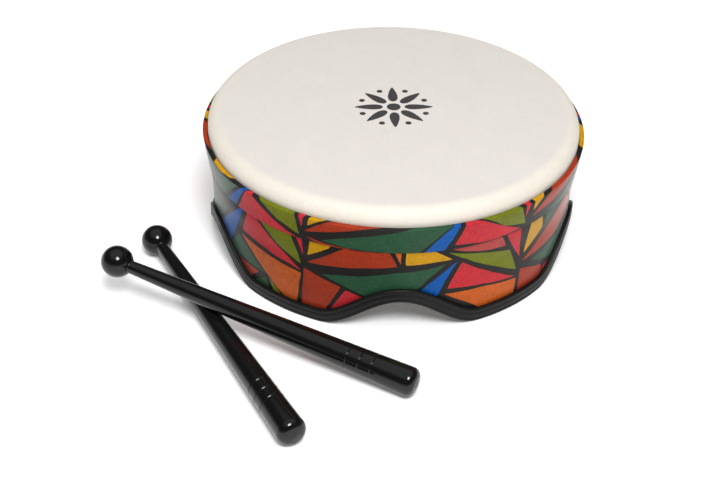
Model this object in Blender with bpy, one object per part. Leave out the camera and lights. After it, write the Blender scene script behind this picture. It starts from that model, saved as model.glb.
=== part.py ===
"""Frame drum with an arched shell, a pre-stretched head and two loose beaters.

The origin is the centre of the playing face, +Z is up out of the head and -Y is the front, where one
of the arches is centred. Every length is in metres.
"""

import math

import bmesh
import bpy
from mathutils import Matrix, Vector

# ---- driving sizes of the drum ----
DRUM_HEIGHT = 0.0900            # playing face down to the floor
SHELL_RADIUS = 0.1213           # outside of the straight shell
SHELL_WALL = 0.0047             # fibreboard wall
SHELL_SWELL = 0.0017            # extra radius of the shell where it meets the head
SWELL_LAP = 0.0009              # how far the swell runs on straight below the band
STRAIGHT_LENGTH = 0.0095        # straight shell above the trim over the top of an arch

WRAP_THICKNESS = 0.0005         # printed skin on the shell
BAND_THICKNESS = 0.0005         # printed strip over the hoop
BAND_HEIGHT = 0.0183
BAND_TAPER = 0.0024             # how much the band narrows from its top to its lower edge
HOOP_HEIGHT = 0.0124

FILM_THICKNESS = 0.00035        # the head's synthetic film
FILM_ROUNDING = 0.0088          # radius of the film over the bearing ring
FILM_COLLAR = 0.0020            # straight part of the film that shows above the band
SKIRT_LENGTH = 0.0132           # film hidden behind the band

RING_DEPTH = 0.0072             # bead of the bearing ring below the centre of its rounding
RING_BEAD_INNER = 0.0060        # how far the bead reaches inwards from the centre of its rounding
TONGUE_DEPTH = 0.0100           # tongue of the bearing ring inside the shell
TONGUE_THICKNESS = 0.0028

ARCH_COUNT = 5
ARCH_HEIGHT = 0.0230
ARCH_SPAN = 0.1065              # width of one arch along the shell

TRIM_HEIGHT = 0.0095            # rubber channel on the lower edge
TRIM_WALL = 0.0026
TRIM_CORNER = 0.0008

# ---- driving sizes of the beaters ----
BALL_RADIUS = 0.0103
SHAFT_LENGTH = 0.2100           # centre of the ball to the end of the butt
NECK_RADIUS = 0.0042
BUTT_RADIUS = 0.0092
BUTT_CORNER = 0.0055            # rounding where the side of the butt meets its end
BUTT_CROWN = 0.0006             # how far the end swells out beyond its rounding
TENON_RADIUS = 0.0028           # end of the shaft inside the ball
TENON_DEPTH = 0.0070
GROOVE_COUNT = 3
GROOVE_PITCH = 0.0082
GROOVE_WIDTH = 0.0010
GROOVE_DEPTH = 0.0003
GROOVE_START = 0.0285           # last groove, measured from the end of the butt

# Where each beater lies. Its axis passes the drum at BAND_RADIUS plus the standoff, it points along
# the heading, and its ball is "lead" before the point nearest to the drum.
LOWER_HEADING = math.radians(-63.0)
LOWER_STANDOFF = 0.0326
LOWER_LEAD = 0.0370
UPPER_HEADING = math.radians(-27.3)
UPPER_STANDOFF = 0.0330
UPPER_LEAD = 0.1176

# ---- fits ----
CLEARANCE = 0.0003              # air between neighbouring pieces
RING_STEPS = 80                 # facets round the drum
BEATER_STEPS = 16               # facets round a beater
ROUNDING_STEPS = 5

# ---- sizes worked out from the ones above ----
FLOOR = -DRUM_HEIGHT
BAND_TOP = -(FILM_ROUNDING + FILM_COLLAR)
BAND_BOTTOM = BAND_TOP - BAND_HEIGHT
SHELL_INNER = SHELL_RADIUS - SHELL_WALL
SWELL_OUTER = SHELL_RADIUS + SHELL_SWELL
SWELL_START = BAND_BOTTOM - SWELL_LAP
SWELL_END = FLOOR + ARCH_HEIGHT + TRIM_HEIGHT + STRAIGHT_LENGTH
FILM_INNER = SWELL_OUTER + CLEARANCE
FILM_OUTER = FILM_INNER + FILM_THICKNESS
ROUNDING_CENTRE = FILM_OUTER - FILM_ROUNDING
SKIRT_END = BAND_TOP - SKIRT_LENGTH
RING_BOTTOM = -FILM_ROUNDING - RING_DEPTH
SHELL_TOP = RING_BOTTOM - CLEARANCE
HOOP_INNER = FILM_OUTER + CLEARANCE
HOOP_TOP = BAND_TOP - BAND_THICKNESS - CLEARANCE
HOOP_BOTTOM = HOOP_TOP - HOOP_HEIGHT
WRAP_TOP = min(SKIRT_END, HOOP_BOTTOM) - 2 * CLEARANCE
WRAP_OFFSET = CLEARANCE + WRAP_THICKNESS    # outside of the printed skin from the shell's surface
BAND_FOOT_RADIUS = SWELL_OUTER + WRAP_OFFSET + CLEARANCE + BAND_THICKNESS
BAND_RADIUS = BAND_FOOT_RADIUS + BAND_TAPER     # the widest part of the drum
TRIM_SLOT_OUTER = SHELL_RADIUS + WRAP_OFFSET + CLEARANCE
TRIM_OUTER = TRIM_SLOT_OUTER + TRIM_WALL
TRIM_SLOT_INNER = SHELL_INNER - CLEARANCE
TRIM_INNER = TRIM_SLOT_INNER - TRIM_WALL
SHELL_FOOT = TRIM_WALL + CLEARANCE
SOCKET_RADIUS = TENON_RADIUS + CLEARANCE
SOCKET_MOUTH = math.sqrt(BALL_RADIUS ** 2 - SOCKET_RADIUS ** 2)
SHAFT_START = SOCKET_MOUTH + CLEARANCE      # where the shaft leaves the ball, from the ball's centre
BUTT_START = SHAFT_LENGTH - BUTT_CROWN - BUTT_CORNER    # the thickest place, where the rounding starts


def clear_scene():
    for old in list(bpy.data.objects):
        bpy.data.objects.remove(old, do_unlink=True)


def make_material(name, color, roughness, metallic=0.0, coat=0.0):
    material = bpy.data.materials.new(name)
    material.use_nodes = True
    shader = material.node_tree.nodes["Principled BSDF"]
    shader.inputs["Base Color"].default_value = (*color, 1.0)
    shader.inputs["Roughness"].default_value = roughness
    shader.inputs["Metallic"].default_value = metallic
    shader.inputs["Coat Weight"].default_value = coat
    material.diffuse_color = (*color, 1.0)
    return material


def add_object(name, bm, material, parent=None):
    """Turns a finished bmesh into a named object, smooth on its round faces."""
    bmesh.ops.recalc_face_normals(bm, faces=bm.faces)
    if bm.calc_volume(signed=True) < 0:
        bmesh.ops.reverse_faces(bm, faces=bm.faces)
    mesh = bpy.data.meshes.new(name)
    bm.to_mesh(mesh)
    bm.free()
    mesh.shade_smooth()
    mesh.set_sharp_from_angle(angle=math.radians(35))
    mesh.materials.append(material)
    obj = bpy.data.objects.new(name, mesh)
    obj.parent = parent
    bpy.context.scene.collection.objects.link(obj)
    return obj


def arch_line(angle):
    """Height of the lower edge above the floor, and its slope along the shell, at an angle about +Z."""
    pitch = math.tau / ARCH_COUNT
    half_span = ARCH_SPAN / 2 / TRIM_OUTER
    offset = (angle + math.pi / 2 + pitch / 2) % pitch - pitch / 2
    if abs(offset) >= half_span:
        return 0.0, 0.0
    phase = math.pi * offset / half_span
    rise = ARCH_HEIGHT * (1 + math.cos(phase)) / 2
    slope = -ARCH_HEIGHT / 2 * math.sin(phase) * math.pi / (half_span * TRIM_OUTER)
    return rise, slope


def fixed(radius, height):
    """A profile point at a height above or below the playing face."""
    return radius, height, 0


def on_edge(radius, height):
    """A profile point measured square to the arched lower edge."""
    return radius, height, 1


def turn_profile(profile, steps, closed):
    """Spins a profile of fixed and on_edge points about +Z into one closed body."""
    bm = bmesh.new()
    follows = bm.verts.layers.int.new("follows")
    verts = []
    for radius, height, on_arch in profile:
        vert = bm.verts.new((radius, 0.0, height))
        vert[follows] = on_arch
        verts.append(vert)
    for first, second in zip(verts, verts[1:]):
        bm.edges.new((first, second))
    if closed:
        bm.edges.new((verts[-1], verts[0]))
    bmesh.ops.spin(bm, geom=list(bm.verts) + list(bm.edges), axis=(0, 0, 1), cent=(0, 0, 0),
                   angle=math.tau, steps=steps, use_merge=True)
    bmesh.ops.remove_doubles(bm, verts=bm.verts, dist=1e-6)
    for vert in bm.verts:
        if vert[follows]:
            rise, slope = arch_line(math.atan2(vert.co.y, vert.co.x))
            vert.co.z = FLOOR + rise + vert.co.z * math.hypot(1.0, slope)
    bm.verts.layers.int.remove(follows)
    return bm


def swell_profile(offset, top):
    """Outer side of the shell from its top to its foot, moved outwards by an offset."""
    return [
        fixed(SWELL_OUTER + offset, top),
        fixed(SWELL_OUTER + offset, SWELL_START),
        fixed(SHELL_RADIUS + offset, SWELL_END),
        on_edge(SHELL_RADIUS + offset, SHELL_FOOT),
    ]


def rounding_profile(radius, start=0.0, end=90.0):
    """Quarter circle about the centre of the head's rounding, from its outer side to its top."""
    points = []
    for step in range(ROUNDING_STEPS + 1):
        angle = math.radians(start + (end - start) * step / ROUNDING_STEPS)
        points.append(fixed(ROUNDING_CENTRE + radius * math.cos(angle),
                            -FILM_ROUNDING + radius * math.sin(angle)))
    return points


def make_shell(material):
    profile = swell_profile(0.0, SHELL_TOP)
    profile += [on_edge(SHELL_INNER, SHELL_FOOT), fixed(SHELL_INNER, SHELL_TOP)]
    return add_object("shell", turn_profile(profile, RING_STEPS, closed=True), material)


def make_shell_wrap(material):
    outer = swell_profile(WRAP_OFFSET, WRAP_TOP)
    inner = swell_profile(CLEARANCE, WRAP_TOP)
    profile = outer + inner[::-1]
    return add_object("shell_wrap", turn_profile(profile, RING_STEPS, closed=True), material)


def make_bearing_ring(material):
    """Rounded bead that the film is stretched over, with a tongue glued inside the shell."""
    bead_radius = FILM_ROUNDING - FILM_THICKNESS - CLEARANCE
    bead_inner = ROUNDING_CENTRE - RING_BEAD_INNER
    tongue_outer = SHELL_INNER - CLEARANCE
    tongue_inner = tongue_outer - TONGUE_THICKNESS
    bead_outer = ROUNDING_CENTRE + bead_radius
    bead_top = bead_radius - FILM_ROUNDING
    profile = rounding_profile(bead_radius)
    profile += [
        fixed(bead_inner + RING_BEAD_INNER * 0.35, bead_top - bead_radius * 0.12),
        fixed(bead_inner, bead_top - bead_radius * 0.50),
        fixed(bead_inner, -FILM_ROUNDING),
        fixed(tongue_inner, RING_BOTTOM),
        fixed(tongue_inner, RING_BOTTOM - TONGUE_DEPTH),
        fixed(tongue_outer, RING_BOTTOM - TONGUE_DEPTH),
        fixed(tongue_outer, RING_BOTTOM),
        fixed(bead_outer, RING_BOTTOM),
    ]
    return add_object("bearing_ring", turn_profile(profile, RING_STEPS, closed=True), material)


def make_drumhead(material):
    """Film: a flat face, a rounded shoulder and a skirt that ends behind the band."""
    outer = [fixed(FILM_OUTER, SKIRT_END)] + rounding_profile(FILM_ROUNDING) + [fixed(0.0, 0.0)]
    inner = [fixed(FILM_INNER, SKIRT_END)] + rounding_profile(FILM_ROUNDING - FILM_THICKNESS)
    inner.append(fixed(0.0, -FILM_THICKNESS))
    profile = outer[::-1] + inner
    return add_object("drumhead", turn_profile(profile, RING_STEPS, closed=False), material)


def band_inner_radius(height):
    """Inside of the printed band at a height: the band narrows evenly towards its lower edge."""
    share = (BAND_TOP - height) / BAND_HEIGHT
    return BAND_RADIUS - BAND_THICKNESS - BAND_TAPER * share


def make_flesh_hoop(material):
    """Wedge-shaped hoop that pulls the film's skirt down and fills out the band."""
    profile = [
        fixed(band_inner_radius(HOOP_TOP) - CLEARANCE, HOOP_TOP),
        fixed(band_inner_radius(HOOP_BOTTOM) - CLEARANCE, HOOP_BOTTOM),
        fixed(HOOP_INNER, HOOP_BOTTOM),
        fixed(HOOP_INNER, HOOP_TOP),
    ]
    return add_object("flesh_hoop", turn_profile(profile, RING_STEPS, closed=True), material)


def make_band(material):
    """Printed strip over the hoop, turned in over the hoop's top edge."""
    fold_bottom = BAND_TOP - BAND_THICKNESS
    corner = BAND_THICKNESS * 0.6
    profile = [
        fixed(HOOP_INNER, BAND_TOP),
        fixed(BAND_RADIUS - corner, BAND_TOP),
        fixed(BAND_RADIUS, BAND_TOP - corner),
        fixed(BAND_FOOT_RADIUS, BAND_BOTTOM),
        fixed(band_inner_radius(BAND_BOTTOM), BAND_BOTTOM),
        fixed(band_inner_radius(fold_bottom), fold_bottom),
        fixed(HOOP_INNER, fold_bottom),
    ]
    return add_object("band", turn_profile(profile, RING_STEPS, closed=True), material)


def make_edge_trim(material):
    """Rubber U-channel pushed on the lower edge, which is also what the drum stands on."""
    low, high = TRIM_CORNER, TRIM_HEIGHT - TRIM_CORNER
    profile = [
        on_edge(TRIM_INNER + TRIM_CORNER, 0.0),
        on_edge(TRIM_OUTER - TRIM_CORNER, 0.0),
        on_edge(TRIM_OUTER, low),
        on_edge(TRIM_OUTER, high),
        on_edge(TRIM_OUTER - TRIM_CORNER, TRIM_HEIGHT),
        on_edge(TRIM_SLOT_OUTER, TRIM_HEIGHT),
        on_edge(TRIM_SLOT_OUTER, TRIM_WALL),
        on_edge(TRIM_SLOT_INNER, TRIM_WALL),
        on_edge(TRIM_SLOT_INNER, TRIM_HEIGHT),
        on_edge(TRIM_INNER + TRIM_CORNER, TRIM_HEIGHT),
        on_edge(TRIM_INNER, high),
        on_edge(TRIM_INNER, low),
    ]
    return add_object("edge_trim", turn_profile(profile, RING_STEPS, closed=True), material)


def shaft_radius(distance):
    """Radius of the tapered shaft at a distance from the ball's centre."""
    share = (distance - SHAFT_START) / (BUTT_START - SHAFT_START)
    return NECK_RADIUS + (BUTT_RADIUS - NECK_RADIUS) * share


def make_shaft(name, material, parent):
    """Tapered shaft along the parent's +Z, with a tenon, three grooves and a rounded butt."""
    tenon_end = SHAFT_START - TENON_DEPTH
    profile = [fixed(0.0, tenon_end), fixed(TENON_RADIUS, tenon_end),
               fixed(TENON_RADIUS, SHAFT_START), fixed(NECK_RADIUS, SHAFT_START)]
    for index in range(GROOVE_COUNT):
        middle = SHAFT_LENGTH - GROOVE_START - GROOVE_PITCH * (GROOVE_COUNT - 1 - index)
        for shift, depth in ((-0.5, 0.0), (0.0, GROOVE_DEPTH), (0.5, 0.0)):
            distance = middle + shift * GROOVE_WIDTH
            profile.append(fixed(shaft_radius(distance) - depth, distance))
    corner_steps = 4
    for step in range(corner_steps + 1):
        angle = math.radians(90 * step / corner_steps)
        profile.append(fixed(BUTT_RADIUS - BUTT_CORNER * (1 - math.cos(angle)),
                             BUTT_START + BUTT_CORNER * math.sin(angle)))
    profile.append(fixed(0.0, SHAFT_LENGTH))
    return add_object(name, turn_profile(profile, BEATER_STEPS, closed=False), material, parent)


def make_ball(name, material, parent):
    """Ball with a blind hole for the shaft's tenon."""
    socket_bottom = SHAFT_START - TENON_DEPTH - CLEARANCE
    ball_steps = 10
    first = math.atan2(SOCKET_RADIUS, SOCKET_MOUTH)
    profile = [fixed(0.0, socket_bottom), fixed(SOCKET_RADIUS, socket_bottom)]
    for step in range(ball_steps):
        angle = first + (math.pi - first) * step / ball_steps
        profile.append(fixed(BALL_RADIUS * math.sin(angle), BALL_RADIUS * math.cos(angle)))
    profile.append(fixed(0.0, -BALL_RADIUS))
    return add_object(name, turn_profile(profile, BEATER_STEPS, closed=False), material, parent)


def ball_place(heading, standoff, lead, height):
    """Centre of a beater's ball."""
    along = Vector((math.cos(heading), math.sin(heading), 0.0))
    outward = Vector((math.sin(heading), -math.cos(heading), 0.0))
    return outward * (BAND_RADIUS + standoff) - along * lead + Vector((0.0, 0.0, height))


def beater_axis(heading, ball_height):
    """Unit vector from ball to butt for a beater whose butt lies on the floor."""
    drop = (ball_height - (FLOOR + BUTT_RADIUS)) / BUTT_START
    level = math.sqrt(1.0 - drop ** 2)
    return Vector((math.cos(heading) * level, math.sin(heading) * level, -drop))


def shaft_gap(lower_ball, lower_axis, upper_ball, upper_axis):
    """Air between two crossing shafts, from the closest points of their axes."""
    between = lower_ball - upper_ball
    lean = lower_axis.dot(upper_axis)
    divisor = 1.0 - lean ** 2
    lower_distance = (lean * upper_axis.dot(between) - lower_axis.dot(between)) / divisor
    upper_distance = (upper_axis.dot(between) - lean * lower_axis.dot(between)) / divisor
    lower_point = lower_ball + lower_axis * lower_distance
    upper_point = upper_ball + upper_axis * upper_distance
    return ((upper_point.z - lower_point.z) - shaft_radius(lower_distance)
            - shaft_radius(upper_distance))


def resting_ball_height(lower_ball, lower_axis):
    """Height of the upper beater's ball when its shaft lies across the lower one."""
    low, high = FLOOR + BUTT_RADIUS, FLOOR + 10 * BUTT_RADIUS
    for _ in range(40):
        middle = (low + high) / 2
        ball = ball_place(UPPER_HEADING, UPPER_STANDOFF, UPPER_LEAD, middle)
        if shaft_gap(lower_ball, lower_axis, ball, beater_axis(UPPER_HEADING, middle)) < CLEARANCE:
            low = middle
        else:
            high = middle
    return high


def make_beater(name, ball_centre, axis, shaft_material, ball_material):
    """A shaft and a ball on an empty at the ball's centre, whose +Z runs along the shaft."""
    empty = bpy.data.objects.new(name, None)
    empty.matrix_world = Matrix.Translation(ball_centre) @ axis.to_track_quat("Z", "Y").to_matrix().to_4x4()
    empty.empty_display_size = BALL_RADIUS
    bpy.context.scene.collection.objects.link(empty)
    make_shaft(name + "_shaft", shaft_material, empty)
    make_ball(name + "_ball", ball_material, empty)


def main():
    clear_scene()
    fibreboard = make_material("fibreboard", (0.42, 0.30, 0.19), 0.75)
    print_skin = make_material("printed_skin", (0.60, 0.12, 0.08), 0.45, coat=0.2)
    film = make_material("head_film", (0.86, 0.83, 0.78), 0.55)
    ring_plastic = make_material("ring_plastic", (0.75, 0.72, 0.66), 0.60)
    hoop_plastic = make_material("hoop_plastic", (0.10, 0.10, 0.10), 0.50)
    rubber = make_material("black_rubber", (0.02, 0.02, 0.02), 0.55)
    gloss_black = make_material("gloss_black", (0.008, 0.008, 0.008), 0.12, coat=0.5)

    make_shell(fibreboard)
    make_shell_wrap(print_skin)
    make_bearing_ring(ring_plastic)
    make_drumhead(film)
    make_flesh_hoop(hoop_plastic)
    make_band(print_skin)
    make_edge_trim(rubber)

    ball_on_floor = FLOOR + BALL_RADIUS
    lower_ball = ball_place(LOWER_HEADING, LOWER_STANDOFF, LOWER_LEAD, ball_on_floor)
    lower_axis = beater_axis(LOWER_HEADING, ball_on_floor)
    make_beater("beater_lower", lower_ball, lower_axis, gloss_black, gloss_black)

    upper_height = resting_ball_height(lower_ball, lower_axis)
    upper_ball = ball_place(UPPER_HEADING, UPPER_STANDOFF, UPPER_LEAD, upper_height)
    make_beater("beater_upper", upper_ball, beater_axis(UPPER_HEADING, upper_height),
                gloss_black, gloss_black)


main()
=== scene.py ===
import math

import bmesh
import bpy
from mathutils import Matrix, Vector, noise


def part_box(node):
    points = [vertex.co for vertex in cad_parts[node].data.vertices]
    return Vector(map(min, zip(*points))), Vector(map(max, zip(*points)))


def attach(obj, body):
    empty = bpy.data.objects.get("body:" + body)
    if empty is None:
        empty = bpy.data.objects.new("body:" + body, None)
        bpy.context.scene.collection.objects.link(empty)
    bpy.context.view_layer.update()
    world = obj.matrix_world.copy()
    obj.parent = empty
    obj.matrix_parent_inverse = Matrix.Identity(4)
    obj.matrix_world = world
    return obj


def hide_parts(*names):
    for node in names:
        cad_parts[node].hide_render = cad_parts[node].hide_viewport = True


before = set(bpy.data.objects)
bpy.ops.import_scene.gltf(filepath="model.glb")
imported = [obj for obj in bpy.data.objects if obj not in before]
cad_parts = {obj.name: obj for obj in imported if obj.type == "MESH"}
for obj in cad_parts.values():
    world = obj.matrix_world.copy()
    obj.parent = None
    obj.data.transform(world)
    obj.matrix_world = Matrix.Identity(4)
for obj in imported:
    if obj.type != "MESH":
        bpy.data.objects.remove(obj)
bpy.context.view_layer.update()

# Places that the parts in model.glb give, in metres.
places = {
    "filmRadius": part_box("drumhead")[1].x,
    "filmEnd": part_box("drumhead")[0].z,
    "bandRadius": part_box("band")[1].x,
    "bandTop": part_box("band")[1].z,
    "bandBottom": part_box("band")[0].z,
    "wrapRadius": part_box("shell_wrap")[1].x,
    "wrapTop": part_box("shell_wrap")[1].z,
    "shellTop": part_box("shell")[1].z,
    "trimRadius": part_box("edge_trim")[1].x,
    "floor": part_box("edge_trim")[0].z,
    "ringRadius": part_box("bearing_ring")[1].x,
    "ringTop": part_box("bearing_ring")[1].z,
    "ringEnd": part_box("bearing_ring")[0].z,
}


def linear(red, green, blue):
    # a screen colour, 0 to 255, as the linear colour that a shader takes
    shares = [value / 255 for value in (red, green, blue)]
    return tuple(s / 12.92 if s <= 0.04045 else ((s + 0.055) / 1.055) ** 2.4 for s in shares)


camera = {
    "place": (-0.0483, -0.7511, 0.4352),
    "turn": -2.08,          # degrees about the vertical
    "lookDown": 35.92,
    "roll": 0.905,
    "lens": 65.0,
}

# A mirrored light also shows in shiny surfaces. The others only light what they fall on.
lights = {
    "key": {"place": (0.10, -0.88, 1.16), "aim": (-0.05, -0.05, -0.08), "size": 0.55, "power": 19.0,
            "mirrored": True},
    "overhead": {"place": (-0.35, 0.10, 1.70), "aim": (-0.05, 0.0, -0.08), "size": 2.6, "power": 14.5,
                 "mirrored": False},
}

backdrop = {
    "floorSize": 9.0,
    "floorColor": (0.95, 0.95, 0.95),
    "floorGlow": 0.12,
    "sky": [(0.02, 0.55), (0.30, 0.05), (0.62, 0.07), (0.93, 0.70)],     # height and brightness
}


def addCamera():
    data = bpy.data.cameras.new("studioCamera")
    data.lens = camera["lens"]
    data.sensor_width = 36.0
    data.clip_start, data.clip_end = 0.01, 50.0
    obj = bpy.data.objects.new("studioCamera", data)
    turn = Matrix.Rotation(math.radians(camera["turn"]), 4, "Z")
    tilt = Matrix.Rotation(math.radians(90 - camera["lookDown"]), 4, "X")
    roll = Matrix.Rotation(math.radians(camera["roll"]), 4, "Z")
    obj.matrix_world = Matrix.Translation(camera["place"]) @ turn @ tilt @ roll
    bpy.context.scene.collection.objects.link(obj)
    bpy.context.scene.camera = obj


def addLights():
    for name, light in lights.items():
        data = bpy.data.lights.new(name + "Light", "AREA")
        data.shape = "DISK"
        data.size = light["size"]
        data.energy = light["power"]
        obj = bpy.data.objects.new(name + "Light", data)
        place = Vector(light["place"])
        facing = (Vector(light["aim"]) - place).to_track_quat("-Z", "Y")
        obj.matrix_world = Matrix.Translation(place) @ facing.to_matrix().to_4x4()
        obj.visible_glossy = light["mirrored"]
        bpy.context.scene.collection.objects.link(obj)


def addSky():
    # pale at the horizon, as the sweep of a studio is, dark above it and softly lit overhead
    world = bpy.data.worlds.new("studio")
    world.use_nodes = True
    tree = world.node_tree
    place = tree.nodes.new("ShaderNodeTexCoord")
    split = tree.nodes.new("ShaderNodeSeparateXYZ")
    ramp = tree.nodes.new("ShaderNodeValToRGB")
    ramp.color_ramp.interpolation = "EASE"
    stops = ramp.color_ramp.elements
    while len(stops) < len(backdrop["sky"]):
        stops.new(1.0)
    for stop, (height, glow) in zip(stops, backdrop["sky"]):
        stop.position = height
        stop.color = (glow, glow, glow, 1.0)
    tree.links.new(place.outputs["Generated"], split.inputs[0])
    tree.links.new(split.outputs["Z"], ramp.inputs["Fac"])
    tree.links.new(ramp.outputs["Color"], tree.nodes["Background"].inputs["Color"])
    bpy.context.scene.world = world


def addFloor():
    bm = bmesh.new()
    bmesh.ops.create_grid(bm, x_segments=1, y_segments=1, size=backdrop["floorSize"] / 2)
    bmesh.ops.translate(bm, verts=bm.verts, vec=(0, 0, places["floor"]))
    mesh = bpy.data.meshes.new("studioFloor")
    bm.to_mesh(mesh)
    bm.free()
    material = bpy.data.materials.new("whiteSweep")
    material.use_nodes = True
    shader = material.node_tree.nodes["Principled BSDF"]
    shader.inputs["Base Color"].default_value = (*backdrop["floorColor"], 1.0)
    shader.inputs["Roughness"].default_value = 0.9
    shader.inputs["Specular IOR Level"].default_value = 0.1
    shader.inputs["Emission Color"].default_value = (1.0, 1.0, 1.0, 1.0)
    shader.inputs["Emission Strength"].default_value = backdrop["floorGlow"]
    mesh.materials.append(material)
    obj = bpy.data.objects.new("studioFloor", mesh)
    bpy.context.scene.collection.objects.link(obj)


def addNode(tree, kind, values=None, **settings):
    node = tree.nodes.new(kind)
    for name, value in settings.items():
        setattr(node, name, value)
    for name, value in (values or {}).items():
        node.inputs[name].default_value = value
    return node


def newGroup(name, inputs, outputs):
    # a node group with named sockets; returns its tree, its input node and its output node
    tree = bpy.data.node_groups.new(name, "ShaderNodeTree")
    for socket, kind, value in inputs:
        made = tree.interface.new_socket(socket, in_out="INPUT", socket_type=kind)
        if value is not None:
            made.default_value = value
    for socket, kind in outputs:
        tree.interface.new_socket(socket, in_out="OUTPUT", socket_type=kind)
    return tree, tree.nodes.new("NodeGroupInput"), tree.nodes.new("NodeGroupOutput")


def stretched(tree, place, scale):
    # the same place, counted in smaller steps along each axis
    node = addNode(tree, "ShaderNodeMapping", {"Scale": scale})
    tree.links.new(place, node.inputs["Vector"])
    return node.outputs[0]


def grain(tree, place, scale, detail=3.0, rough=0.55):
    node = addNode(tree, "ShaderNodeTexNoise", {"Scale": 1.0, "Detail": detail, "Roughness": rough})
    tree.links.new(stretched(tree, place, scale), node.inputs["Vector"])
    return node.outputs["Fac"]


def calc(tree, operation, first, second):
    node = addNode(tree, "ShaderNodeMath", operation=operation)
    for socket, value in zip(node.inputs, (first, second)):
        if isinstance(value, (int, float)):
            socket.default_value = value
        else:
            tree.links.new(value, socket)
    return node.outputs[0]


def centred(tree, value, strength):
    # a 0 to 1 pattern as a small plus or minus
    return calc(tree, "MULTIPLY", calc(tree, "SUBTRACT", value, 0.5), strength)


def toned(tree, color, amount):
    # the colour made lighter or darker by a share
    node = addNode(tree, "ShaderNodeVectorMath", operation="SCALE")
    tree.links.new(color, node.inputs[0])
    tree.links.new(calc(tree, "ADD", amount, 1.0), node.inputs["Scale"])
    return node.outputs[0]


def canvasGroup():
    # printed canvas: crossing threads, brushed colour and a height for the weave
    tree, given, out = newGroup(
        "printedCanvas",
        [("Place", "NodeSocketVector", None), ("Ink", "NodeSocketColor", None),
         ("Brush", "NodeSocketFloat", 0.3), ("Weave", "NodeSocketFloat", 0.25),
         ("Gloss", "NodeSocketFloat", 0.36)],
        [("Color", "NodeSocketColor"), ("Roughness", "NodeSocketFloat"), ("Height", "NodeSocketFloat")])
    place = given.outputs["Place"]
    along = grain(tree, place, (210, 1050, 1), detail=2.0)
    across = grain(tree, place, (1050, 210, 1), detail=2.0)
    brush = grain(tree, place, (70, 110, 1), detail=4.0, rough=0.6)
    threads = calc(tree, "MULTIPLY", calc(tree, "ADD", along, across), 0.5)
    tone = calc(tree, "ADD",
                calc(tree, "MULTIPLY", calc(tree, "SUBTRACT", threads, 0.5), given.outputs["Weave"]),
                calc(tree, "MULTIPLY", calc(tree, "SUBTRACT", brush, 0.5), given.outputs["Brush"]))
    tree.links.new(toned(tree, given.outputs["Ink"], tone), out.inputs["Color"])
    tree.links.new(calc(tree, "ADD", centred(tree, threads, 0.25), given.outputs["Gloss"]),
                   out.inputs["Roughness"])
    tree.links.new(threads, out.inputs["Height"])
    return tree


def filmGroup():
    # coated drum film: cloudy tone, faint crossed fibres and a fine tooth
    tree, given, out = newGroup(
        "coatedFilm",
        [("Place", "NodeSocketVector", None), ("Tint", "NodeSocketColor", None),
         ("Rim", "NodeSocketColor", None), ("RimStart", "NodeSocketFloat", 0.11),
         ("RimEnd", "NodeSocketFloat", 0.12), ("Cloud", "NodeSocketFloat", 0.07),
         ("Fibre", "NodeSocketFloat", 0.16)],
        [("Color", "NodeSocketColor"), ("Roughness", "NodeSocketFloat"), ("Height", "NodeSocketFloat")])
    place = given.outputs["Place"]
    cloud = grain(tree, place, (45, 45, 45), detail=3.0)
    along = grain(tree, place, (90, 700, 700), detail=2.0)
    across = grain(tree, place, (700, 90, 700), detail=2.0)
    tooth = grain(tree, place, (2200, 2200, 2200), detail=2.0)
    fibre = calc(tree, "MULTIPLY", calc(tree, "ADD", along, across), 0.5)
    tone = calc(tree, "ADD",
                calc(tree, "MULTIPLY", calc(tree, "SUBTRACT", cloud, 0.5), given.outputs["Cloud"]),
                calc(tree, "MULTIPLY", calc(tree, "SUBTRACT", fibre, 0.5), given.outputs["Fibre"]))
    flat = addNode(tree, "ShaderNodeVectorMath", {1: (1.0, 1.0, 0.0)}, operation="MULTIPLY")
    reach = addNode(tree, "ShaderNodeVectorMath", operation="LENGTH")
    share = addNode(tree, "ShaderNodeMapRange", interpolation_type="SMOOTHSTEP")
    blend = addNode(tree, "ShaderNodeMix", data_type="RGBA")
    tree.links.new(place, flat.inputs[0])
    tree.links.new(flat.outputs[0], reach.inputs[0])
    tree.links.new(reach.outputs["Value"], share.inputs["Value"])
    tree.links.new(given.outputs["RimStart"], share.inputs["From Min"])
    tree.links.new(given.outputs["RimEnd"], share.inputs["From Max"])
    tree.links.new(share.outputs["Result"], blend.inputs["Factor"])
    tree.links.new(given.outputs["Tint"], blend.inputs["A"])
    tree.links.new(given.outputs["Rim"], blend.inputs["B"])
    tree.links.new(toned(tree, blend.outputs["Result"], tone), out.inputs["Color"])
    tree.links.new(calc(tree, "ADD", centred(tree, fibre, 0.2), 0.55), out.inputs["Roughness"])
    tree.links.new(calc(tree, "ADD", fibre, centred(tree, tooth, 0.5)), out.inputs["Height"])
    return tree


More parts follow.
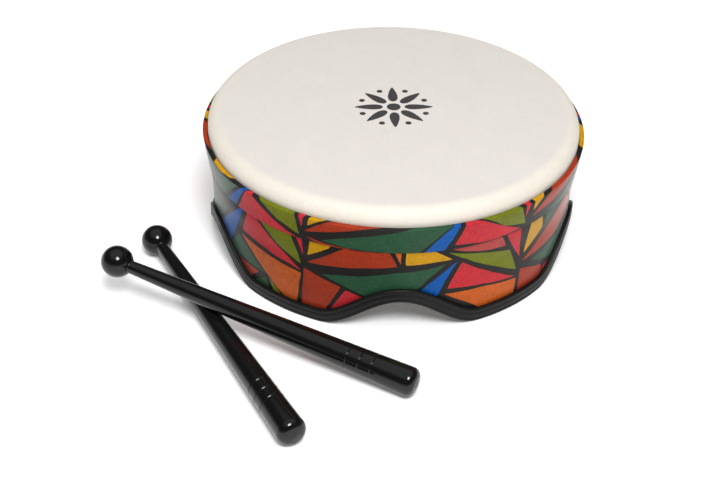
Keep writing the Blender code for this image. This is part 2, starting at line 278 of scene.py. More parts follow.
def mouldedGroup():
    # moulded plastic, rubber or lacquer: a fine skin with soft patches of handling
    tree, given, out = newGroup(
        "mouldedSkin",
        [("Place", "NodeSocketVector", None), ("Tint", "NodeSocketColor", None),
         ("Gloss", "NodeSocketFloat", 0.4), ("Patch", "NodeSocketFloat", 0.1),
         ("Skin", "NodeSocketFloat", 900.0)],
        [("Color", "NodeSocketColor"), ("Roughness", "NodeSocketFloat"), ("Height", "NodeSocketFloat")])
    place = given.outputs["Place"]
    patch = grain(tree, place, (60, 60, 60), detail=4.0, rough=0.6)
    skin = addNode(tree, "ShaderNodeTexNoise", {"Detail": 2.0})
    tree.links.new(place, skin.inputs["Vector"])
    tree.links.new(given.outputs["Skin"], skin.inputs["Scale"])
    shift = calc(tree, "MULTIPLY", calc(tree, "SUBTRACT", patch, 0.5), given.outputs["Patch"])
    tree.links.new(toned(tree, given.outputs["Tint"], shift), out.inputs["Color"])
    tree.links.new(calc(tree, "ADD", shift, given.outputs["Gloss"]), out.inputs["Roughness"])
    tree.links.new(skin.outputs["Fac"], out.inputs["Height"])
    return tree


def makeMaterial(name, group, place, values, bump, **sockets):
    # a Principled material whose colour, roughness and height come from one of the groups
    material = bpy.data.materials.new(name)
    material.use_nodes = True
    tree = material.node_tree
    shader = tree.nodes["Principled BSDF"]
    if place == "sheet":
        source = addNode(tree, "ShaderNodeUVMap", uv_map="sheet").outputs["UV"]
    else:
        source = addNode(tree, "ShaderNodeTexCoord").outputs["Object"]
    pattern = addNode(tree, "ShaderNodeGroup", node_tree=group)
    tree.links.new(source, pattern.inputs["Place"])
    for socket, value in values.items():
        pattern.inputs[socket].default_value = (*value, 1.0) if isinstance(value, tuple) else value
    relief = addNode(tree, "ShaderNodeBump", {"Strength": bump[0], "Distance": bump[1]})
    tree.links.new(pattern.outputs["Color"], shader.inputs["Base Color"])
    tree.links.new(pattern.outputs["Roughness"], shader.inputs["Roughness"])
    tree.links.new(pattern.outputs["Height"], relief.inputs["Height"])
    tree.links.new(relief.outputs["Normal"], shader.inputs["Normal"])
    for socket, value in sockets.items():
        shader.inputs[socket.replace("_", " ")].default_value = value
    return material


inks = {
    "black": linear(27, 25, 24),
    "crimson": linear(178, 37, 46),
    "vermilion": linear(149, 48, 22),
    "orange": linear(180, 83, 24),
    "yellow": linear(183, 134, 6),
    "olive": linear(100, 108, 8),
    "green": linear(36, 74, 50),
    "blue": linear(0, 77, 151),
    # crimson lightened by a painted reflection, where the flare under the band catches the floor
    "crimsonPaintedReflection": linear(161, 62, 61),
}


def makeInks(group):
    # one varnished printing colour for each ink, and a crimson lightened by a painted reflection, in the
    # order that the cells use
    made = []
    for name, ink in inks.items():
        made.append(makeMaterial("print_" + name, group, "sheet",
                                 {"Ink": ink, "Brush": 0.5, "Weave": 1.3, "Gloss": 0.34},
                                 (0.35, 0.0001), Specular_IOR_Level=0.13, Sheen_Weight=0.21,
                                 Sheen_Roughness=0.3))
    return made


def finishPiece(name, bm, materials, body, nodes, sharp=35.0):
    # turns a finished bmesh into a smooth-shaded piece that rides on its body
    bmesh.ops.recalc_face_normals(bm, faces=bm.faces)
    if bm.calc_volume(signed=True) < 0:
        bmesh.ops.reverse_faces(bm, faces=bm.faces)
    mesh = bpy.data.meshes.new(name)
    bm.to_mesh(mesh)
    bm.free()
    mesh.shade_smooth()
    mesh.set_sharp_from_angle(angle=math.radians(sharp))
    for material in materials:
        mesh.materials.append(material)
    obj = bpy.data.objects.new(name, mesh)
    bpy.context.scene.collection.objects.link(obj)
    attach(obj, body)
    if nodes:
        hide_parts(*nodes)
    print("made", name, len(mesh.polygons), "faces")
    return obj


def spinProfile(points, steps, closed=True):
    bm = bmesh.new()
    verts = [bm.verts.new((radius, 0.0, height)) for radius, height in points]
    for first, second in zip(verts, verts[1:]):
        bm.edges.new((first, second))
    if closed:
        bm.edges.new((verts[-1], verts[0]))
    bmesh.ops.spin(bm, geom=bm.verts[:] + bm.edges[:], axis=(0, 0, 1), cent=(0, 0, 0),
                   angle=math.tau, steps=steps, use_merge=True)
    bmesh.ops.remove_doubles(bm, verts=bm.verts, dist=1e-6)
    return bm


def arc(centre, radius, start, end, steps):
    # profile points along part of a circle, in degrees from the outward direction
    points = []
    for step in range(steps + 1):
        angle = math.radians(start + (end - start) * step / steps)
        points.append((centre[0] + radius * math.cos(angle), centre[1] + radius * math.sin(angle)))
    return points


def angleOf(co):
    # degrees round the drum from the front, growing to the right
    return math.degrees(math.atan2(co.x, -co.y))


def unrollSheet(bm, radius):
    # lays a UV map called sheet over a round wall, in metres of circumference and height
    layer = bm.loops.layers.uv.new("sheet")
    for face in bm.faces:
        middle = angleOf(face.calc_center_median())
        for loop in face.loops:
            turn = (angleOf(loop.vert.co) - middle + 180) % 360 - 180
            reach = math.hypot(loop.vert.co.x, loop.vert.co.y)
            loop[layer].uv = (math.radians(middle + turn) * radius, loop.vert.co.z - reach)


arches = {"count": 5, "height": 0.0230, "span": 0.1065}


def archLine(angle):
    # how far the lower edge stands off the floor at an angle in degrees, and its slope
    pitch = 360 / arches["count"]
    halfSpan = math.degrees(arches["span"] / 2 / places["trimRadius"])
    offset = (angle + pitch / 2) % pitch - pitch / 2
    if abs(offset) >= halfSpan:
        return 0.0, 0.0
    phase = math.pi * offset / halfSpan
    halfWidth = math.radians(halfSpan) * places["trimRadius"]
    rise = arches["height"] * (1 + math.cos(phase)) / 2
    return rise, -arches["height"] / 2 * math.sin(phase) * math.pi / halfWidth


def hangOnEdge(verts):
    # moves points whose height is counted from the lower edge on to the arched edge itself
    for vert in verts:
        rise, slope = archLine(angleOf(vert.co))
        vert.co.z = places["floor"] + rise + vert.co.z * math.hypot(1.0, slope)


film = {
    "rounding": 0.0088,
    "thickness": 0.00035,
    "inkStep": 0.00006,     # the face lies this far below its printed mark
    "faceRings": (0.0, 0.04, 0.08),
    "skirt": 0.0100,        # depth where the shoulder has become the straight skirt
    "pucker": 0.00016,      # how far the shoulder is drawn in between the hoop's grips
    "puckers": 74,
    "steps": 480,
    "tint": linear(207, 201, 196),
    "rimTint": linear(215, 208, 196),
    "rimStart": 0.1120,
    "rimEnd": 0.1210,
}


def makeFilm(group):
    radius, rounding, top = places["filmRadius"], film["rounding"], -film["inkStep"]
    centre = (radius - rounding, -rounding)
    inner = rounding - film["thickness"]
    outside = [(reach, top) for reach in film["faceRings"]] + [(centre[0] - 0.006, top)]
    outside += arc(centre, rounding - film["inkStep"], 90, 0, 18)
    outside += [(radius - film["inkStep"], -film["skirt"]), (radius - film["inkStep"], places["filmEnd"])]
    inside = [(radius - film["thickness"], places["filmEnd"])] + arc(centre, inner, 0, 90, 10)
    inside.append((0.0, -film["thickness"]))
    bm = spinProfile(outside + inside, film["steps"], closed=False)
    for vert in bm.verts:
        reach = math.hypot(vert.co.x, vert.co.y)
        depth = min(1.0, max(0.0, (-vert.co.z - 0.003) / 0.005))
        if reach > centre[0] + 0.001 and depth > 0:
            turn = math.radians(angleOf(vert.co))
            wave = noise.noise(Vector((math.cos(turn), math.sin(turn), 0.0)) * film["puckers"] / 6)
            share = 1 - film["pucker"] * depth * (0.5 + wave) / reach
            vert.co.x *= share
            vert.co.y *= share
    bmesh.ops.recalc_face_normals(bm, faces=bm.faces)
    values = {"Tint": film["tint"], "Rim": film["rimTint"], "RimStart": film["rimStart"],
              "RimEnd": film["rimEnd"]}
    material = makeMaterial("head_film", group, "object", values, (0.12, 0.0002),
                            Specular_IOR_Level=0.35)
    return finishPiece("head_film", bm, [material], "drum", ["drumhead"], sharp=50)


mark = {
    "petals": 8,
    "petalReach": 0.0260,
    "petalRoot": 0.0072,
    "petalWidth": 0.0078,
    "dotRing": 0.0226,
    "dotRadius": 0.0020,
    "hubRadius": 0.0046,
    "ink": linear(58, 56, 57),
}


def makeMark(group):
    # a plain rosette printed in the middle of the head: petals, dots between them and a hub
    bm = bmesh.new()
    middle = (mark["petalRoot"] + mark["petalReach"]) / 2
    half = (mark["petalReach"] - mark["petalRoot"]) / 2
    for index in range(mark["petals"]):
        turn = Matrix.Rotation(math.tau * index / mark["petals"], 4, "Z")
        petal = bmesh.ops.create_circle(bm, cap_ends=True, radius=1.0, segments=32)["verts"]
        for vert in petal:
            share = vert.co.x * 0.5 + 0.5                 # 0 at the root, 1 at the tip
            width = mark["petalWidth"] / 2 * (1.15 - 0.75 * share)
            vert.co = turn @ Vector((middle + half * vert.co.x, width * vert.co.y, 0.0))
        between = Matrix.Rotation(math.tau * (index + 0.5) / mark["petals"], 4, "Z")
        place = between @ Matrix.Translation((mark["dotRing"], 0, 0))
        bmesh.ops.create_circle(bm, cap_ends=True, radius=mark["dotRadius"], segments=20, matrix=place)
    bmesh.ops.create_circle(bm, cap_ends=True, radius=mark["hubRadius"], segments=32)
    underside = bmesh.ops.extrude_face_region(bm, geom=bm.faces[:])["geom"]
    lowered = [item for item in underside if isinstance(item, bmesh.types.BMVert)]
    bmesh.ops.translate(bm, verts=lowered, vec=(0, 0, -film["inkStep"] * 1.3))
    material = makeMaterial("mark_ink", group, "object",
                            {"Tint": mark["ink"], "Gloss": 0.5, "Patch": 0.15, "Skin": 1500.0},
                            (0.1, 0.0001))
    return finishPiece("head_mark", bm, [material], "drum", [])


band = {
    "thickness": 0.0005,
    "taper": 0.0024,
    "corner": 0.0004,
    "fold": 0.0030,         # how far the strip is turned in over the hoop
    "steps": 360,
}

ink = {
    "step": 0.00006,        # how far a colour stands above the black of the sheet
    "cut": 4.0,             # longest flat of a cell along the sheet, in millimetres
    "corner": 2.2,          # spacing of the outline's points
    "softening": 0.2,       # how far a cell's corners are rounded off
    "wobble": 0.45,         # how unsteady the painted outline is
    "swayLength": 9,        # length of one sway of the outline
    "seedStep": 7.3,        # keeps the sways of one cell apart from the next one's
    "sink": 1.5,            # thickness of the ink as a share of its step, so that it meets the sheet
    "panel": 160.0,         # width of one panel of the artwork
    "hand": 7,              # seed of the outlines' sway, which would follow the clock without one
}


def bandPoint(down, lift=0.0):
    # radius and height of the band's face, at a distance down from its top fold
    corner = band["corner"]
    radius, top = places["bandRadius"] - ink["step"], places["bandTop"] - ink["step"]
    if down >= corner:
        share = (down - corner) / (top - places["bandBottom"])
        return radius - band["taper"] * share + lift, top - down
    if down <= -corner:
        return radius + down, top + lift
    angle = math.pi / 2 * (1 - (down + corner) / (2 * corner))
    reach = corner + lift
    return radius - corner + reach * math.cos(angle), top - corner + reach * math.sin(angle)


def makeBand(materials):
    height = places["bandTop"] - ink["step"] - places["bandBottom"]
    corner, wall = band["corner"], band["thickness"]
    downs = [-band["fold"], -corner, -corner / 2, 0.0, corner / 2, corner, height / 2, height]
    face = [bandPoint(down) for down in downs]
    foot = face[-1]
    back = [(foot[0] - wall, foot[1]), (face[5][0] - wall, places["bandTop"] - wall),
            (face[0][0], places["bandTop"] - wall)]
    bm = spinProfile(face + back, band["steps"])
    unrollSheet(bm, places["bandRadius"])
    return finishPiece("band_strip", bm, materials[:1], "drum", ["band"])


wrap = {
    "thickness": 0.0005,
    "straight": 0.1221,     # outside of the skin on the straight shell
    "swellStart": -0.0296,
    "swellEnd": -0.0500,
    "foot": 0.0031,         # the skin ends this far above the lower edge, inside the trim
    "topMargin": 0.0004,    # the ink stops short of the skin's upper edge
    "footMargin": 0.0020,   # and of its lower one
    "steps": 360,
}


def wrapPoint(height, lift=0.0):
    # radius of the printed skin at a height: it flares smoothly as it runs up under the band
    share = min(1.0, max(0.0, (wrap["swellStart"] - height) / (wrap["swellStart"] - wrap["swellEnd"])))
    ease = share * share * (3 - 2 * share)
    outer = places["wrapRadius"] + (wrap["straight"] - places["wrapRadius"]) * ease
    return outer - ink["step"] + lift


def swellHeights(top, count=10):
    span = wrap["swellStart"] - wrap["swellEnd"]
    return [top] + [wrap["swellStart"] - span * step / count for step in range(count + 1)]


def standOnEdge(bm, height):
    # points put at a given marker height come down to the arched edge
    hangOnEdge([vert for vert in bm.verts if abs(vert.co.z - height) < 1e-6])


def makeWrap(materials):
    heights = swellHeights(places["wrapTop"])
    outside = [(wrapPoint(height), height) for height in heights]
    inside = [(wrapPoint(height) - wrap["thickness"], height) for height in heights]
    foot = [(outside[-1][0], wrap["foot"]), (inside[-1][0], wrap["foot"])]
    bm = spinProfile(outside + foot + inside[::-1], wrap["steps"])
    standOnEdge(bm, wrap["foot"])
    unrollSheet(bm, places["wrapRadius"])
    return finishPiece("shell_skin", bm, materials[:1], "drum", ["shell_wrap"])


# Colours of one panel of the sheet, as corner points in millimetres: along the panel, and down
# from the top of the band. Negative distances down lie on the part that is folded over the hoop.
bandPanels = {
    "slow": [
        ("blue", [(33, -3), (30, -3), (5, 19), (16, 19), (23, 9)]),
        ("crimson", [(37, -3), (34, -3), (19, 19), (76, 19), (56, 11), (38, 0)]),
        ("olive", [(42, -3), (74, -3), (77, 15), (60, 9)]),
        ("crimson", [(77, -3), (82, -3), (79, 8)]),
        ("yellow", [(86, -3), (97, -3), (93, 0), (84, 6)]),
        ("vermilion", [(101, -3), (135, -3), (118, 2), (99, 7), (81, 11), (90, 4)]),
        ("green", [(93, 15), (108, 10), (125, 6), (150, 0), (156, -3), (182, -3), (179, 0), (158, 19),
                   (130, 18), (110, 17)]),
        ("vermilion", [(82, 15), (100, 17), (124, 19), (94, 19)]),
    ],
    "quick": [
        ("blue", [(25, -3), (21, -3), (2, 19), (15, 19), (20, 9)]),
        ("crimson", [(28, -3), (34, -3), (54, 9), (69, 17), (46, 18), (21, 15), (25, 7)]),
        ("olive", [(38, -3), (66, -3), (73, 15), (55, 9)]),
        ("crimson", [(70, -3), (75, -3), (72, 9)]),
        ("yellow", [(78, -3), (90, -3), (86, 0), (78, 7)]),
        ("vermilion", [(99, -3), (135, -3), (118, 5), (97, 10), (78, 12), (88, 4)]),
        ("green", [(93, 16), (108, 13), (125, 9), (150, 2), (160, -3), (182, -3), (179, 0), (158, 19),
                   (130, 19), (110, 18)]),
    ],
}

# Two panels end differently at the top of the band, where they run on round the sides.
bandPanels["slowEnd"] = bandPanels["slow"][:6] + [
    ("yellow", [(146, -3), (174, -3), (170, -0.8), (160, 0.4), (150, 0)]),
    ("green", [(93, 15), (108, 10), (125, 6), (150, 2.6), (165, 2.4), (176, 1), (182, 0), (179, 2),
               (158, 19), (130, 18), (110, 17)]),
    ("vermilion", [(82, 15), (100, 17), (124, 19), (94, 19)]),
]
bandPanels["quickEnd"] = bandPanels["quick"][:5] + [
    ("vermilion", [(99, -3), (142, -3), (118, 5), (97, 10), (78, 12), (88, 4)]),
    ("yellow", [(154, -3), (184, -3), (178, 0.2), (168, 1.2), (150, 1.2)]),
    ("green", [(93, 16), (108, 13), (125, 9), (150, 3.8), (168, 3.4), (158, 19), (130, 19), (110, 18)]),
]

# The same artwork on the shell, where the sheet lies lower. The trim covers what runs past it.
shellPanels = {
    "high": [
        ("blue", [(41, 16), (37, 19), (24, 30), (2, 50), (16, 60), (24, 46)]),
        ("crimson", [(45, 16), (50, 18), (65, 30), (86, 45), (54, 39), (35, 37)]),
        ("olive", [(53, 16), (79, 16), (83, 28), (86, 40), (69, 31)]),
        ("crimson", [(83, 16), (88, 16), (88, 32)]),
        ("yellow", [(94, 16), (108, 16), (106, 21), (91, 31)]),
        ("vermilion", [(118, 17), (142, 17), (148, 30), (118, 34), (90, 37), (104, 27)]),
        ("orange", [(145, 16), (150, 16), (150, 28)]),
        ("yellow", [(153, 16), (168, 16), (172, 20), (182, 27), (153, 29)]),
        ("green", [(100, 43), (128, 39), (150, 35), (166, 33), (178, 30), (158, 51), (150, 57), (134, 57),
                   (116, 49)]),
        ("vermilion", [(88, 42), (113, 50), (101, 74), (86, 74)]),
        ("crimson", [(116, 52), (134, 58), (126, 74), (103, 74)]),
        ("orange", [(34, 41), (60, 44), (86, 47), (84, 60), (82, 74), (77, 74)]),
        ("green", [(31, 43), (34, 45), (57, 60), (29, 60), (18, 57)]),
        ("vermilion", [(27, 62), (51, 62), (38, 74), (30, 74)]),
        ("green", [(42, 74), (57, 63), (61, 74)]),
        ("olive", [(60, 62), (74, 74), (65, 74)]),
    ],
    "low": [
        ("blue", [(27, 30), (25, 31), (2, 50), (12, 60), (20, 42)]),
        # the crimson cell just under the band, lightened by a painted reflection
        ("crimsonPaintedReflection", [(14, 16), (57, 16), (63, 28), (47, 26), (30, 22)]),
        ("olive", [(20, 21), (47, 28), (67, 33), (75, 52), (46, 37)]),
        ("crimson", [(60, 16), (74, 16), (77, 43), (69, 31)]),
        ("crimson", [(30, 31), (47, 42), (74, 57), (48, 53), (21, 50)]),
        ("orange", [(19, 54), (48, 55), (76, 59), (74, 74), (50, 74), (34, 63)]),
        ("vermilion", [(79, 53), (103, 62), (105, 66), (102, 74), (78, 74)]),
        ("crimson", [(107, 64), (120, 66), (112, 74), (106, 74)]),
        ("yellow", [(84, 16), (95, 16), (98, 30), (90, 36), (81, 42)]),
        ("green", [(99, 16), (122, 16), (102, 29)]),
        ("vermilion", [(80, 48), (104, 34), (127, 20), (136, 24), (146, 40), (118, 46)]),
        ("orange", [(131, 17), (146, 16), (149, 36), (141, 26)]),
        ("yellow", [(151, 16), (190, 16), (176, 30), (153, 38)]),
        ("green", [(90, 52), (118, 49), (150, 42), (166, 37), (158, 51), (150, 60), (134, 62), (112, 61)]),
    ],
}

# The panel that ends at the left side has the same cells without the yellow ones.
shellPanels["back"] = [cell for cell in shellPanels["high"] if cell[0] != "yellow"]

# Where each panel starts round the drum, its width, both in degrees, and which artwork it has.
bandLayout = [(-62, 67, "slow"), (5, 73, "quickEnd"), (78, 73, "slow"), (151, 73, "quick"),
              (224, 74, "slowEnd")]
shellLayout = [(-70.5, 75, "high"), (4.5, 71, "low"), (75.5, 71, "high"), (146.5, 71, "low"),
               (217.5, 72, "back")]


def outlineCell(points, seed):
    # one painted cell, flat: an outline with a slightly unsteady hand, filled with one face
    bm = bmesh.new()
    corners = [bm.verts.new((x, y, 0.0)) for x, y in points]
    sides = [bm.edges.new((first, second)) for first, second in zip(corners, corners[1:] + corners[:1])]
    for side in sides:
        cuts = int(side.calc_length() / ink["corner"])
        if cuts:
            bmesh.ops.subdivide_edges(bm, edges=[side], cuts=cuts)
    bmesh.ops.smooth_vert(bm, verts=bm.verts, factor=ink["softening"], use_axis_x=True, use_axis_y=True,
                          use_axis_z=True)
    for vert in bm.verts:
        x, y = vert.co.x / ink["swayLength"], vert.co.y / ink["swayLength"]
        sway = noise.noise_vector(Vector((x, y, seed * ink["seedStep"])))
        vert.co.x += sway.x * ink["wobble"]
        vert.co.y += sway.y * ink["wobble"]
    bmesh.ops.contextual_create(bm, geom=bm.edges[:])
    return bm


def sliceCell(bm, ways):
    # cuts the flat cell where the sheet bends, so that it can follow the round wall
    lowest = min(vert.co.x for vert in bm.verts)
    highest = max(vert.co.x for vert in bm.verts)
    first = math.ceil(lowest / ink["cut"])
    planes = [((x * ink["cut"], 0, 0), (1, 0, 0)) for x in range(first, int(highest / ink["cut"]) + 1)]
    planes += [((0, y, 0), (0, 1, 0)) for y in ways]
    for point, direction in planes:
        bmesh.ops.bisect_plane(bm, geom=bm.verts[:] + bm.edges[:] + bm.faces[:], dist=1e-4,
                               plane_co=point, plane_no=direction)


def faceOutward(bm):
    # turns the laid cell so that its faces look away from the middle of the drum
    drumMiddle = Vector((0, 0, -0.05))
    bmesh.ops.recalc_face_normals(bm, faces=bm.faces)
    face = bm.faces[:][0]
    if face.normal.dot(face.calc_center_median() - drumMiddle) < 0:
        bmesh.ops.reverse_faces(bm, faces=bm.faces)


def layCells(panels, layout, ways, putDown):
    # every cell of every panel, laid on its wall by putDown and given the thickness of the ink
    noise.seed_set(ink["hand"])
    order = list(inks)
    sheet = bmesh.new()
    seed = 0
    for start, width, artwork in layout:
        for color, points in panels[artwork]:
            seed += 1
            bm = outlineCell(points, seed)
            sliceCell(bm, ways)
            for vert in bm.verts:
                vert.co = putDown(start + vert.co.x * width / ink["panel"], vert.co.y)
            for face in bm.faces:
                face.material_index = order.index(color)
            faceOutward(bm)
            bmesh.ops.solidify(bm, geom=bm.faces[:], thickness=ink["step"] * ink["sink"])
            part = bpy.data.meshes.new("cell")
            bm.to_mesh(part)
            bm.free()
            sheet.from_mesh(part)
            bpy.data.meshes.remove(part)
    return sheet


def makeBandPrint(materials):
    height = (places["bandTop"] - places["bandBottom"]) * 1000 - 0.1
    corner = band["corner"] * 1000

    def putDown(angle, down):
        radius, level = bandPoint(min(down, height) / 1000, ink["step"])
        radius = max(radius, places["bandRadius"] - band["fold"])
        turn = math.radians(angle)
        return Vector((radius * math.sin(turn), -radius * math.cos(turn), level))

    ways = [-corner, -corner / 2, 0, corner / 2, corner, 5, 10, 15]
    bm = layCells(bandPanels, bandLayout, ways, putDown)
    unrollSheet(bm, places["bandRadius"])
    return finishPiece("band_print", bm, materials, "drum", [])


def makeShellPrint(materials):
    top = places["bandTop"]

    def putDown(angle, down):
        rise = archLine(angle)[0]
        level = min(places["wrapTop"] - wrap["topMargin"], top - down / 1000)
        level = max(level, places["floor"] + rise + wrap["foot"] + wrap["footMargin"])
        radius = wrapPoint(level, ink["step"])
        turn = math.radians(angle)
        return Vector((radius * math.sin(turn), -radius * math.cos(turn), level))

    ways = [(top - height) * 1000 for height in swellHeights(places["bandBottom"])]
    bm = layCells(shellPanels, shellLayout, ways + [44, 50, 56, 62, 68], putDown)
    unrollSheet(bm, places["wrapRadius"])
    return finishPiece("shell_print", bm, materials, "drum", [])


shell = {"wall": 0.0047, "gap": 0.0003, "tint": linear(150, 128, 104), "steps": 240}


def fibreGroup():
    # pressed fibreboard: short pale and dark fibres lying round the shell, over a soft mottle
    tree, given, out = newGroup(
        "pressedFibre",
        [("Place", "NodeSocketVector", None), ("Tint", "NodeSocketColor", None),
         ("Fibre", "NodeSocketFloat", 0.5), ("Mottle", "NodeSocketFloat", 0.3)],
        [("Color", "NodeSocketColor"), ("Roughness", "NodeSocketFloat"), ("Height", "NodeSocketFloat")])
    place = given.outputs["Place"]
    fibre = grain(tree, place, (350, 350, 1600), detail=5.0, rough=0.7)
    mottle = grain(tree, place, (90, 90, 90), detail=3.0)
    tone = calc(tree, "ADD",
                calc(tree, "MULTIPLY", calc(tree, "SUBTRACT", fibre, 0.5), given.outputs["Fibre"]),
                calc(tree, "MULTIPLY", calc(tree, "SUBTRACT", mottle, 0.5), given.outputs["Mottle"]))
    tree.links.new(toned(tree, given.outputs["Tint"], tone), out.inputs["Color"])
    tree.links.new(calc(tree, "ADD", centred(tree, fibre, 0.2), 0.75), out.inputs["Roughness"])
    tree.links.new(fibre, out.inputs["Height"])
    return tree


def makeShell():
    inner = wrap["straight"] - wrap["thickness"] - shell["gap"] - shell["wall"]
    cover = wrap["thickness"] + shell["gap"]
    heights = swellHeights(places["shellTop"])
    outside = [(wrapPoint(height) - cover, height) for height in heights]
    foot = [(outside[-1][0], wrap["foot"]), (inner, wrap["foot"])]
    bm = spinProfile(outside + foot + [(inner, places["shellTop"])], shell["steps"])
    standOnEdge(bm, wrap["foot"])
    material = makeMaterial("shell_fibreboard", fibreGroup(), "object",
                            {"Tint": shell["tint"]}, (0.35, 0.0003))
    return finishPiece("shell_board", bm, [material], "drum", ["shell"])


trim = {
    "height": 0.0095,
    "outerWall": 0.0026,
    "innerWall": 0.0026,
    "slotInner": 0.1163,    # inside of the groove that takes the shell
    "sole": 0.0026,
    "lead": 0.0004,         # the groove's mouth is this far below the lips
    "corner": 0.0011,
    "ridge": 0.00013,       # depth of the two lines along the outside
    "ridgeWidth": 0.0008,
    "ridgePlaces": (0.0028, 0.0068),
    "steps": 720,
    "tint": linear(19, 18, 18),
}


def makeTrim(group):
    outer, corner, height = places["trimRadius"], trim["corner"], trim["height"]
    slotOuter = outer - trim["outerWall"]
    inner = trim["slotInner"] - trim["innerWall"]
    lip = trim["outerWall"] * 0.42
    points = arc((outer - corner, corner), corner, -90, 0, 5)
    for place in trim["ridgePlaces"]:
        half = trim["ridgeWidth"] / 2
        points += [(outer, place - half), (outer - trim["ridge"] * 0.8, place - half / 2),
                   (outer - trim["ridge"], place), (outer - trim["ridge"] * 0.8, place + half / 2),
                   (outer, place + half)]
    points += arc((outer - lip, height - lip), lip, 0, 90, 5)
    mouth = height - trim["lead"]
    points += [(slotOuter, mouth), (slotOuter, trim["sole"]), (trim["slotInner"], trim["sole"]),
               (trim["slotInner"], mouth)]
    points += arc((inner + lip, height - lip), lip, 90, 180, 5)
    points += arc((inner + corner, corner), corner, 180, 270, 5)
    bm = spinProfile(points, trim["steps"])
    hangOnEdge(bm.verts)
    material = makeMaterial("edge_rubber", group, "object",
                            {"Tint": trim["tint"], "Gloss": 0.42, "Patch": 0.16, "Skin": 1400.0},
                            (0.25, 0.0001), Specular_IOR_Level=0.16)
    return finishPiece("edge_rubber", bm, [material], "drum", ["edge_trim"], sharp=40)


ring = {
    "beadInner": 0.0060,
    "beadDepth": 0.0072,
    "tongueInner": 0.1135,
    "tongueOuter": 0.1163,
    "fillet": 0.0008,
    "steps": 240,
    "tint": linear(214, 208, 196),
}


def makeRing(group):
    # the rounded bead that the film is stretched over, with the tongue that is glued in the shell
    centre = (places["filmRadius"] - film["rounding"], -film["rounding"])
    bead = places["ringRadius"] - centre[0]
    beadInner = centre[0] - ring["beadInner"]
    bottom = -film["rounding"] - ring["beadDepth"]
    points = arc(centre, bead, 0, 90, 14)
    shoulder = (beadInner + bead * 0.55, places["ringTop"] - bead * 0.55)
    points += arc(shoulder, bead * 0.55, 90, 180, 10)[1:]
    points += [(beadInner, -film["rounding"]), (ring["tongueInner"], bottom)]
    points += [(ring["tongueInner"], places["ringEnd"] + ring["fillet"]),
               (ring["tongueInner"] + ring["fillet"], places["ringEnd"]),
               (ring["tongueOuter"] - ring["fillet"], places["ringEnd"]),
               (ring["tongueOuter"], places["ringEnd"] + ring["fillet"]),
               (ring["tongueOuter"], bottom), (places["ringRadius"], bottom)]
    bm = spinProfile(points, ring["steps"])
    material = makeMaterial("ring_plastic", group, "object",
                            {"Tint": ring["tint"], "Gloss": 0.45, "Patch": 0.08, "Skin": 1100.0},
                            (0.15, 0.0001))
    return finishPiece("bearing_bead", bm, [material], "drum", ["bearing_ring"], sharp=40)


beater = {
    "ball": 0.0103,
    "neck": 0.0042,
    "butt": 0.0092,
    "buttCorner": 0.0055,   # rounding between the side of the butt and its end
    "crown": 0.0006,        # how far the end swells out past that rounding
    "tenon": 0.0028,
    "tenonDepth": 0.0070,
    "fillet": 0.0012,       # the neck's flare where it meets the ball
    "grooves": 3,
    "groovePitch": 0.0082,
    "grooveWidth": 0.0011,
    "grooveDepth": 0.00034,
    "grooveStart": 0.0285,  # last groove, counted back from the end of the butt
    "steps": 72,
    "tint": (0.0045, 0.0042, 0.0042),
}


def farthest(node, point):
    # the corner of a node that lies farthest from a point
    corners = [vert.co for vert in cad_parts[node].data.vertices]
    return max(corners, key=lambda corner: (corner - point).length)


def beaterLine(name):
    # the ball's centre, the direction along the shaft, and the length from there to the butt's end
    low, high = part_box(name + "_ball")
    buttEnd = farthest(name + "_shaft", (low + high) / 2)
    ballEnd = farthest(name + "_ball", buttEnd)
    along = (buttEnd - ballEnd).normalized()
    length = (buttEnd - ballEnd).length - beater["ball"]
    return ballEnd + along * beater["ball"], along, length


def shaftRadius(distance, buttStart):
    share = (distance - beater["ball"]) / (buttStart - beater["ball"])
    return beater["neck"] + (beater["butt"] - beater["neck"]) * share


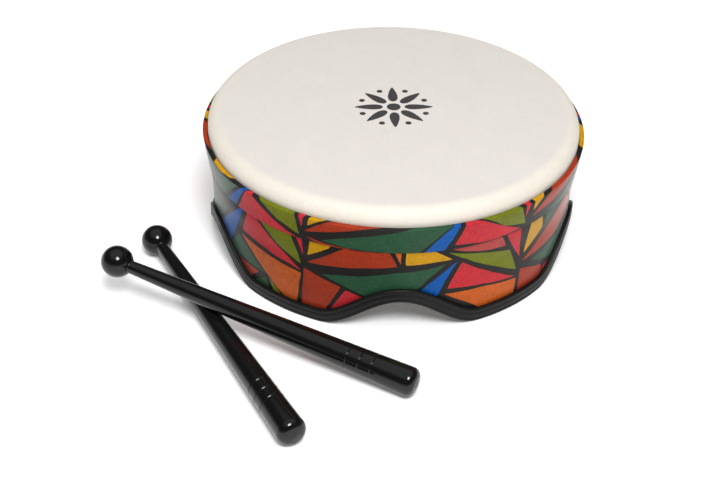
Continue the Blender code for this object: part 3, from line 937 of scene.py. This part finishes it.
def shaftProfile(length):
    # from the tenon inside the ball, over the flare at the neck and the grooves, to the butt
    flare, start = beater["fillet"], math.sqrt(beater["ball"] ** 2 - beater["neck"] ** 2) + 0.0002
    points = [(0.0, start - beater["tenonDepth"]), (beater["tenon"], start - beater["tenonDepth"]),
              (beater["tenon"], start - 0.001)]
    for step in range(6):
        angle = math.radians(90 * step / 5)
        points.append((beater["neck"] + flare * 0.55 * (1 - math.sin(angle)),
                       start + flare * (1 - math.cos(angle))))
    corner, buttStart = beater["buttCorner"], length - beater["crown"] - beater["buttCorner"]
    for index in range(beater["grooves"]):
        middle = length - beater["grooveStart"] - beater["groovePitch"] * (beater["grooves"] - 1 - index)
        for share in (-0.9, -0.2, 0, 0.125, 0.25, 0.375, 0.5, 0.625, 0.75, 0.875, 1, 1.2, 1.9):
            distance = middle + (share - 0.5) * beater["grooveWidth"]
            inside = min(1.0, max(0.0, share))
            depth = beater["grooveDepth"] * (0.5 - 0.5 * math.cos(math.tau * inside))
            points.append((shaftRadius(distance, buttStart) - depth, distance))
    points += arc((beater["butt"] - corner, buttStart), corner, 0, 86, 12)
    crownEdge = points[-1]
    for step in range(1, 7):
        share = step / 6
        swell = (length - crownEdge[1]) * math.sin(math.radians(90 * share))
        points.append((crownEdge[0] * (1 - share), crownEdge[1] + swell))
    return points


def makeBeater(name, material):
    centre, along, length = beaterLine(name)
    place = Matrix.Translation(centre) @ along.to_track_quat("Z", "Y").to_matrix().to_4x4()
    shaft = spinProfile(shaftProfile(length), beater["steps"], closed=False)
    bmesh.ops.transform(shaft, matrix=place, verts=shaft.verts)
    finishPiece(name + "_stick", shaft, [material], name, [name + "_shaft"], sharp=60)
    ball = bmesh.new()
    bmesh.ops.create_uvsphere(ball, u_segments=56, v_segments=32, radius=beater["ball"])
    bmesh.ops.transform(ball, matrix=place, verts=ball.verts)
    finishPiece(name + "_tip", ball, [material], name, [name + "_ball"], sharp=60)


def finishHoop(group):
    # the hoop is out of sight behind the band, so its own solid stays, in a better plastic
    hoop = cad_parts["flesh_hoop"]
    material = makeMaterial("hoop_plastic", group, "object",
                            {"Tint": linear(60, 60, 62), "Gloss": 0.5, "Patch": 0.1, "Skin": 900.0},
                            (0.15, 0.0001))
    hoop.data.materials.clear()
    hoop.data.materials.append(material)


print("camera and light")
addCamera()
addLights()
addSky()
addFloor()
bpy.context.scene.view_settings.view_transform = "Standard"

print("head")
mouldedSkin = mouldedGroup()
makeFilm(filmGroup())
makeMark(mouldedSkin)

print("printed band and shell")
printInks = makeInks(canvasGroup())
makeBand(printInks)
makeBandPrint(printInks)
makeWrap(printInks)
makeShellPrint(printInks)
makeShell()

print("trim, ring and hoop")
makeTrim(mouldedSkin)
makeRing(mouldedSkin)
finishHoop(mouldedSkin)

print("beaters")
lacquer = makeMaterial("beater_lacquer", mouldedSkin, "object",
                       {"Tint": beater["tint"], "Gloss": 0.09, "Patch": 0.06, "Skin": 300.0},
                       (0.02, 0.0002), Specular_IOR_Level=0.38)
for beaterName in ("beater_lower", "beater_upper"):
    makeBeater(beaterName, lacquer)

bpy.context.view_layer.update()
